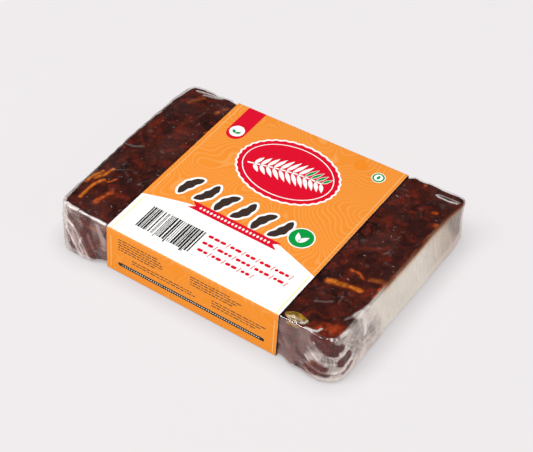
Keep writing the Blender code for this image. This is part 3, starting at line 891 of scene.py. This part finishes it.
def crease_and_highlight_marks(spots):
    """Haze and lift that the shown creases and painted highlights add, by vertex index, from each vertex's
    place and normal.
    """
    faces = (
        (TOP_CREASES_AND_HIGHLIGHTS, [(i, Vector((p.x, p.y, 0))) for i, p, n in spots if n.z > 0.35]),
        (FRONT_CREASES_AND_HIGHLIGHTS, [(i, Vector((p.x, p.z, 0))) for i, p, n in spots if n.y < -0.5]),
        (END_CREASES_AND_HIGHLIGHTS, [(i, Vector((p.y, p.z, 0))) for i, p, n in spots if n.x > 0.5]))
    marks = {}
    for creases, flat_spots in faces:
        tree = search_tree(flat_spots)
        for haze, lift, width, places in creases:
            points = [Vector((u * MM, v * MM, 0)) for u, v in places]
            strongest = {}
            for start, end in zip(points, points[1:]):
                for index, gap in beside(tree, start, end, width * MM):
                    share = ease(width * MM, 0.3 * width * MM, gap)
                    strongest[index] = max(share, strongest.get(index, 0.0))
            for index, share in strongest.items():
                before = marks.get(index, (0.0, 0.0))
                marks[index] = (before[0] + haze * share, before[1] + lift * share * MM)
    return marks


def veil_at(p, normal, block):
    """Tint that the hazy film scatters: rosy on the sides, cream at the ends, and a painted glow of honey
    and umber along their top.
    """
    end = ease(0.02, 0.25, abs(normal.x))
    tint = Vector(NEUTRAL).lerp(Vector(ROSY), ease(0.5, 0.9, abs(normal.y)))
    tint = tint.lerp(Vector(CREAM), max(end, clear_of_pulp(p)))
    tint = tint.lerp(Vector(MIST), 0.8 * corner_nearness(p, block))
    glow_band = end * ease(FLAP_FRONT - 2 * MM, FLAP_FRONT + 12 * MM, p.y)
    uneven = 0.8 + 0.4 * noise.noise(p / (7 * MM))
    tint = tint.lerp(Vector(HONEY), 0.22 * end * ease(14 * MM, 34 * MM, p.y))
    # Painted glow: honey, then umber at the very top, along the top of the ends, as if light came through
    # the pulp's thin edge
    tint = tint.lerp(Vector(HONEY), glow_band * uneven * ease(FILM_TOP - 4.0 * MM, FILM_TOP - 1.7 * MM, p.z))
    return tint.lerp(Vector(UMBER_GLOW), glow_band * uneven * ease(FILM_TOP - 1.9 * MM, FILM_TOP - 0.7 * MM, p.z))


def marked(tint, haze):
    """The veil's tint by the haze that a crease adds: whiter on a fold or painted highlight, dark red where
    wet pulp clings.
    """
    tint = tint.lerp(Vector(NEUTRAL), 0.65 * ease(0.0, 0.6, haze))
    return tint.lerp(Vector(WET), ease(0.0, -0.3, haze))


def make_film():
    """The clear wrap: one closed skin that follows the pulp's lumps and stands away at its ends."""
    block = Block(FILM_INSET)
    bm = block.mesh(FILM_SPACING)
    haze_layer = bm.verts.layers.float.new("haze")
    crinkle_layer = bm.verts.layers.float.new("crinkle")
    veil_layer = bm.verts.layers.float_color.new("veil")
    spots = []
    for vertex in bm.verts:
        if openness(vertex.co.x) > 0:
            spots.append((vertex.index, leaned(vertex.co), vertex.normal.copy()))
    marks = crease_and_highlight_marks(spots)
    places = []
    for vertex in bm.verts:
        at = vertex.co
        lift, haze, crinkle = film_at(at, vertex.normal, block)
        more_haze, more_lift = marks.get(vertex.index, (0.0, 0.0))
        hug = FILM_HUG * lumps(bowed(at)) * (1 - corner_nearness(at, block) * (1.0 if at.y < 0 else 0.3))
        wet = WET_HAZE * (0.85 + 0.7 * noise.noise(at / (2.4 * MM))) * ease(0.0, -0.3, more_haze)
        # Painted highlights: the white haze of the listed creases stands in for light caught by folds and
        # edges
        vertex[haze_layer] = max(wet, haze + more_haze)
        vertex[crinkle_layer] = crinkle
        vertex[veil_layer] = marked(veil_at(at, vertex.normal, block), more_haze)
        lift = max(0.0, lift + more_lift)
        loose = Vector((slack(at, block), side_flare(at, block), 0))
        place = leaned(at + loose + vertex.normal * (lift + hug))
        place.z = max(place.z, LOWEST)
        places.append(place)
    for vertex, place in zip(bm.verts, places):
        vertex.co = place
    return new_piece("wrapping_film", bm, [clear_film()], ["film_wrap"], sharp=180)


# Paper band

def quarter(centre_y, centre_z, radius, start):
    """Points (y, z) of a quarter circle that starts at an angle in degrees and turns left."""
    turns = [math.radians(start + 90 * i / FOLD_CUTS) for i in range(FOLD_CUTS + 1)]
    return [(centre_y + radius * math.cos(t), centre_z + radius * math.sin(t)) for t in turns]


def band_outline(offset, base):
    """A wall of the band in section, as (y, z): the points of its base, then on by the back and the top."""
    half = BLOCK_DEPTH / 2 + offset
    radius = BAND_RADIUS + offset - BAND_OFFSET
    low = base[0][1]
    high = FILM_TOP + offset
    points = list(base)
    points += quarter(half - radius, low + radius, radius, -90)
    points += quarter(half - radius, high - radius, radius, 0)
    points += quarter(-half + radius, high - radius, radius, 90)
    points += quarter(-half + radius, low + radius, radius, 180)
    return points


def make_band():
    """The printed band: its section as a ring of faces, pulled out along X. Its cut edges are white."""
    under = LAP_EDGE - LAP_WIDTH
    places = (-BASE_FLAT, under - LAP_RAMP, under, LAP_EDGE, LAP_EDGE + 0.02 * MM,
              LAP_EDGE + LAP_RAMP, BASE_FLAT)
    rises = (0, 0, 0, 0, LAP_STEP, 0, 0)
    lifts = (0, 0, LAP_STEP, LAP_STEP, LAP_STEP, LAP_STEP, 0)
    outer = band_outline(BAND_OFFSET, list(zip(places, rises)))
    inner_base = [(y, PAPER_WALL + lift) for y, lift in zip(places, lifts)]
    inner = band_outline(BAND_OFFSET - PAPER_WALL, inner_base)
    bm = bmesh.new()
    rings = [[bm.verts.new((BAND_LEFT, y, z)) for y, z in wall] for wall in (outer, inner)]
    for i in range(len(outer)):
        bm.faces.new([rings[0][i - 1], rings[0][i], rings[1][i], rings[1][i - 1]])
    pull(bm, bm.faces[:], (BAND_RIGHT - BAND_LEFT, 0, 0))
    for vertex in bm.verts:
        vertex.co.y = leaned(vertex.co).y
    bmesh.ops.recalc_face_normals(bm, faces=bm.faces[:])
    for face in bm.faces:
        face.material_index = 1 if abs(face.normal.x) > 0.9 else 0
    return new_piece("paper_band", bm, [printed_paper(), cut_paper()], ["label_band"], sharp=40)


def on_paper(flat):
    """A point (x, place across the band, lift) of the flat print, laid on the band and over its folds."""
    x, across, lift = flat
    side = math.copysign(1, across)
    past = abs(across) - FOLD_START
    if past <= 0:
        y, z = across, BAND_TOP + lift
    elif past < FOLD_ARC:
        turn = past / BAND_RADIUS
        y = side * (FOLD_START + (BAND_RADIUS + lift) * math.sin(turn))
        z = BAND_TOP - BAND_RADIUS + (BAND_RADIUS + lift) * math.cos(turn)
    else:
        y, z = side * (BAND_HALF + lift), BAND_TOP - BAND_RADIUS - (past - FOLD_ARC)
    return Vector((x, leaned(Vector((x, y, z))).y, z))


def across_at(x, y):
    """Place across the upright band of a point at y on the finished top, where the taper has moved it."""
    return (y - DEPTH_TAPER * x / 2) / (1 + DEPTH_TAPER * x / BLOCK_DEPTH)


def down_front(z):
    """Place across the band of a point on its front side, at a height above the surface that it lies on."""
    return -(FOLD_START + FOLD_ARC + BAND_TOP - BAND_RADIUS - z)


class Print:
    """The printed shapes of one colour, as thin closed solids on the paper. Places are in millimetres."""

    def __init__(self):
        self.bm = bmesh.new()

    def lay(self, layer, outline, front=False):
        """Adds a shape from its outline, in order: (x, y) on the top, or (x, height) on the front side."""
        corners = []
        for x, y in outline:
            across = down_front(y * MM) if front else across_at(x * MM, y * MM)
            corners.append(self.bm.verts.new((x * MM, across, -INK)))
        pull(self.bm, [self.bm.faces.new(corners)], (0, 0, INK * (1 + layer)))

    def finish(self, name, material):
        """Lays the shapes on the band, cut where its folds bend them, and makes one piece of them."""
        bm = self.bm
        for side in (-1, 1):
            for step in range(FOLD_CUTS + 1):
                place = side * (FOLD_START + FOLD_ARC * step / FOLD_CUTS)
                cut(bm, (0, place, 0), (0, 1, 0))
        for vertex in bm.verts:
            vertex.co = on_paper(vertex.co)
        bmesh.ops.recalc_face_normals(bm, faces=bm.faces[:])
        return new_piece(name, bm, [material], sharp=30)


def ellipse(x, y, wide, high, count=48, lobes=0, wave=0.0):
    """Outline of an ellipse by its half axes, with an optional scalloped edge."""
    points = []
    for i in range(count):
        turn = 2 * math.pi * i / count
        reach = 1 + wave * math.cos(lobes * turn)
        points.append((x + wide * reach * math.cos(turn), y + high * reach * math.sin(turn)))
    return points


def turned(points, x, y, degrees):
    """Points drawn round the origin, turned and moved to a place."""
    c, s = math.cos(math.radians(degrees)), math.sin(math.radians(degrees))
    return [(x + px * c - py * s, y + px * s + py * c) for px, py in points]


def leaf(x, y, length, width, degrees):
    """A leaflet that starts at a place and points along a heading."""
    steps = [i / 12 for i in range(13)]
    upper = [(length * t, width / 2 * math.sin(math.pi * t ** 0.8)) for t in steps]
    lower = [(px, -py) for px, py in reversed(upper[1:-1])]
    return turned(upper + lower, x, y, degrees)


def bar(x0, y0, x1, y1, round_ends=True):
    """An upright or lying bar between two corners, with round or square ends."""
    if not round_ends:
        return [(x0, y0), (x1, y0), (x1, y1), (x0, y1)]
    radius = (y1 - y0) / 2
    middle = (y0 + y1) / 2
    turns = [math.radians(-90 + 180 * i / 8) for i in range(9)]
    right = [(x1 - radius + radius * math.cos(t), middle + radius * math.sin(t)) for t in turns]
    left = [(x0 + radius - radius * math.cos(t), middle - radius * math.sin(t)) for t in turns]
    return right + left


def pod(x, y, length, width, degrees, bend, bulge, swell=0.0):
    """A curved tamarind pod that bulges over its seeds, drawn a little larger by swell."""
    upper, lower = [], []
    count, seeds = 44, 3
    for i in range(count + 1):
        t = i / count
        body = math.sin(math.pi * t) ** 0.4
        half = body * (width / 2 * (1 - bulge + bulge * math.cos(2 * math.pi * (seeds * t - 0.5))) + swell)
        along = (t - 0.5) * (length + 2 * swell)
        centre = bend * (4 * (t - 0.5) ** 2 - 0.33)
        upper.append((along, centre + half))
        lower.append((along, centre - half))
    return turned(upper[:-1] + lower[:0:-1], x, y, degrees)


def make_prints():
    """All that is printed on the band, in generic shapes, one piece for each ink."""
    white, red, green, brown, black, yellow, deep, pale = (Print() for _ in range(8))
    draw = random.Random(PRINT_SEED)

    # Red tab that hangs over the back fold, with two leaves on a white disc
    turns = [math.pi * i / 16 for i in range(17)]
    tab = [(-42.1, 58.0), (-42.1, 32.0)]
    tab += [(-37.4 - 4.7 * math.cos(t), 31.9 - 5.0 * math.sin(t)) for t in turns]
    tab += [(-32.7, 32.0), (-32.7, 58.0)]
    red.lay(1, tab)
    white.lay(2, ellipse(-37.4, 32.6, 3.7, 3.8))
    for heading in (35, 145):
        green.lay(3, leaf(-37.4, 31.0, 3.0, 1.5, heading))

    # Red badge with a scalloped white rim and a leafy sprig
    centre_x, centre_y = -2.0, 23.2
    white.lay(1, ellipse(centre_x, centre_y, 26.3, 19.8, 216, 36, 0.011))
    red.lay(2, ellipse(centre_x, centre_y, 25.3, 18.8, 216, 36, 0.011))
    white.lay(3, ellipse(centre_x, centre_y, 23.1, 16.6, 96))
    red.lay(4, ellipse(centre_x, centre_y, 22.6, 16.1, 96))
    rises = [7 * math.sin(math.pi * i / 24) for i in range(13)]
    rib = [(centre_x - 19 + 3 * i, centre_y - 5 + rise) for i, rise in enumerate(rises)]
    for i, ((x0, y0), (x1, y1)) in enumerate(zip(rib, rib[1:])):
        heading = math.degrees(math.atan2(y1 - y0, x1 - x0))
        white.lay(5, turned([(-0.2, -0.4), (3.4, -0.4), (3.4, 0.4), (-0.2, 0.4)], x0, y0, heading))
        longest = 4.5 + 4.5 * math.sin(math.pi * (i + 1.5) / 14)
        for side in (-1, 1):
            white.lay(5, leaf(x1, y1 + side * 0.2, longest, 2.0, heading + side * 56))
            if side > 0 and i >= 8:
                green.lay(6, leaf(x1 + 0.2, y1 + side * 0.6, longest - 0.9, 1.4, heading + side * 56))

    # Row of leaning tamarind pods with white outlines
    for i in range(6):
        x = -33.6 + 10.1 * i
        bend = 1.5 if i % 2 else -1.5
        layer = 1 + 0.2 * (i % 2)
        white.lay(layer, pod(x, -9.4, 14.4, 5.0, 68, bend, 0.06, 1.15))
        brown.lay(2, pod(x, -9.4, 14.4, 5.0, 68, bend, 0.10))

    # Swallow-tailed ribbon with a row of dots
    red.lay(2, [(-26.4, -16.6), (21.8, -16.6), (18.6, -18.9), (21.8, -21.2), (-26.4, -21.2),
                (-23.4, -18.9)])
    for i in range(20):
        white.lay(3, ellipse(-20.6 + i * 1.95, -18.9, 0.55, 0.75, 12))

    # Green disc with a white ring and a leaf
    white.lay(1, ellipse(26.9, -8.5, 6.3, 6.3))
    green.lay(2, ellipse(26.9, -8.5, 5.7, 5.7))
    for heading in (60, 120):
        white.lay(3, leaf(26.9, -11.5, 6.0, 2.4, heading))

    # Small green ring on white, and a deeper orange dot
    white.lay(1, ellipse(34.3, 43.7, 3.3, 3.3))
    green.lay(2, ellipse(34.3, 43.7, 2.9, 2.9))
    white.lay(3, ellipse(34.3, 43.7, 2.1, 2.1))
    green.lay(4, leaf(34.3, 42.4, 2.8, 1.5, 90))
    deep.lay(1, ellipse(23.2, 46.2, 3.4, 3.4))

    # White panel with an arched top, from the front fold up. Two thin lines run all along the band,
    # yellow on the panel and pale on the orange
    crest = [(-48.4, -26.1), (-38, -22.6), (-28, -19.7), (-18, -18.0), (-8, -17.1), (2, -16.9), (12, -17.1)]
    crest += [(22, -17.8), (35, -21.6), (44.5, -24.6)]
    white.lay(1, [(44.5, -51.4), *reversed(crest), (-48.4, -51.4)])
    for x in (-46.2, 42.6):
        yellow.lay(2, [(x, -51.4), (x + 0.5, -51.4), (x + 0.5, -26.2), (x, -26.2)])
        pale.lay(1, [(x, -23.0), (x + 0.4, -23.0), (x + 0.4, 54.0), (x, 54.0)])
        pale.lay(1, [(x, 1.5), (x + 0.4, 1.5), (x + 0.4, 20.5), (x, 20.5)], front=True)

    # Bars of seeded widths
    x = -38.5
    while x < -9.9:
        width = draw.choice((0.33, 0.33, 0.66, 0.99))
        foot = -45.3 if draw.random() < 0.15 else -44.0
        black.lay(2, bar(x, foot, x + width, -29.7, False))
        x += width + draw.choice((0.33, 0.33, 0.66, 0.99))

    # Rows of short red strokes, with upright bars between them
    for row, (start, end) in enumerate(((-7.5, 33.5), (-7.5, 32.5), (-7.0, 21.0))):
        x = start
        y = -30.8 - 4.6 * row
        while x < end:
            for _ in range(draw.choice((2, 3, 3))):
                length = draw.uniform(1.6, 3.2)
                red.lay(2, bar(x, y - 0.8, x + length, y + 0.8))
                x += length + 0.4
            red.lay(2, turned([(-0.2, -1.5), (0.2, -1.5), (0.2, 1.5), (-0.2, 1.5)], x + 0.9, y, -14))
            x += 2.0

    # Front side: rows of fine dark strokes, and a black bar with a pale dotted line
    blocks = ((-41.8, -16.0, 20.2, 5), (-1.9, 25.0, 20.4, 4), (-34.0, 6.0, 11.4, 2), (10.0, 38.0, 13.0, 3))
    for left, right, high, rows in blocks:
        for row in range(rows):
            x = left
            z = high - 1.45 * row
            while x < right - draw.uniform(0, 8):
                length = draw.uniform(0.8, 3.0)
                brown.lay(1, bar(x, z - 0.26, x + length, z + 0.26, False), front=True)
                x += length + 0.5
    black.lay(1, bar(-41.9, 5.0, 38.3, 6.9), front=True)
    for i in range(62):
        white.lay(2, ellipse(-39.0 + i * 1.22, 5.95, 0.34, 0.24, 8), front=True)

    inks = (
        ("print_white", white, "opaque white ink", "#FBFAF7"),
        ("print_red", red, "red ink", "#DB0529"),
        ("print_green", green, "green ink", "#009640"),
        ("print_brown", brown, "dark brown ink", "#3A2B26"),
        ("print_black", black, "black ink", "#1C1A1A"),
        ("print_yellow", yellow, "pale yellow ink", "#F0EC9A"),
        ("print_orange", deep, "deep orange ink", "#F08A24"),
        ("print_pale", pale, "pale orange ink", "#F6B870"))
    for name, shapes, material, code in inks:
        shapes.finish(name, ink(material, code))


# Studio

AZIMUTH = math.radians(34.887)
ELEVATION = math.radians(45.321)
DISTANCE = 758.2 * MM
AIM = Vector((3.0, -1.149, 12.24)) * MM
LENS = 112.55
FLOOR_GLOW = 0.852
SHADE_REACH = 11.0 * MM
SHADE_DEPTH = 0.5


def floor_finish():
    """Pale studio paper, lit from below like a light table, with a soft shade where the pack lies."""
    material, tree, _ = blank("lit studio paper")
    open_share = add(tree, "AmbientOcclusion", {"Distance": SHADE_REACH}).outputs["AO"]
    strength = add(tree, "MapRange", {
        "Value": open_share, "To Min": FLOOR_GLOW * (1 - SHADE_DEPTH), "To Max": FLOOR_GLOW})
    glow = add(tree, "Emission", {"Color": colour("#F1EDEE"), "Strength": strength})
    matt = add(tree, "BsdfDiffuse", {"Color": (0.11, 0.107, 0.108, 1.0)})
    both = add(tree, "AddShader", {0: glow, 1: matt})
    add(tree, "OutputMaterial", {"Surface": both})
    return material


def make_studio():
    """Floor, world and lamps. The lamps stay out of the mirror direction of the top."""
    bm = bmesh.new()
    bmesh.ops.create_grid(bm, x_segments=8, y_segments=8, size=20.0)
    mesh = bpy.data.meshes.new("floor")
    bm.to_mesh(mesh)
    bm.free()
    mesh.materials.append(floor_finish())
    link("floor", mesh)

    world = bpy.data.worlds.new("studio")
    world.use_nodes = True
    tree = world.node_tree
    tree.nodes.clear()
    up = add(tree, "SeparateXYZ", {"Vector": add(tree, "TexCoord").outputs["Generated"]})
    glow = add(tree, "MapRange", {
        "Value": up.outputs["Z"], "From Min": 0.12, "From Max": 0.42, "To Min": 0.80, "To Max": 0.05},
        interpolation_type="SMOOTHSTEP")
    sky = add(tree, "Background", {"Color": (1, 0.985, 0.985, 1), "Strength": glow})
    add(tree, "OutputWorld", {"Surface": sky})
    bpy.context.scene.world = world

    lamps = (("key", (-0.36, -0.43, 0.82), 2.4, 1.1, 61.0), ("fill", (0.85, 0.05, 0.50), 2.4, 0.9, 23.0))
    for name, way, distance, size, power in lamps:
        lamp = bpy.data.lights.new(name, "AREA")
        lamp.shape = "SQUARE"
        lamp.size = size
        lamp.energy = power
        light = link(name, lamp)
        light.location = Vector(way).normalized() * distance
        light.rotation_euler = Vector(way).to_track_quat("Z", "Y").to_euler()
        light.visible_camera = False


def make_camera():
    """A long lens that looks down at the pack from its front right."""
    camera = bpy.data.cameras.new("camera")
    camera.sensor_width = 36.0
    camera.lens = LENS
    eye = link("camera", camera)
    back = Vector((math.sin(AZIMUTH) * math.cos(ELEVATION), -math.cos(AZIMUTH) * math.cos(ELEVATION),
                   math.sin(ELEVATION)))
    eye.location = AIM + PLACED + back * DISTANCE
    eye.rotation_euler = back.to_track_quat("Z", "Y").to_euler()
    bpy.context.scene.camera = eye


bpy.context.scene.view_settings.view_transform = "Standard"
make_camera()
make_studio()
make_pulp()
make_flake()
make_film()
make_band()
make_prints()
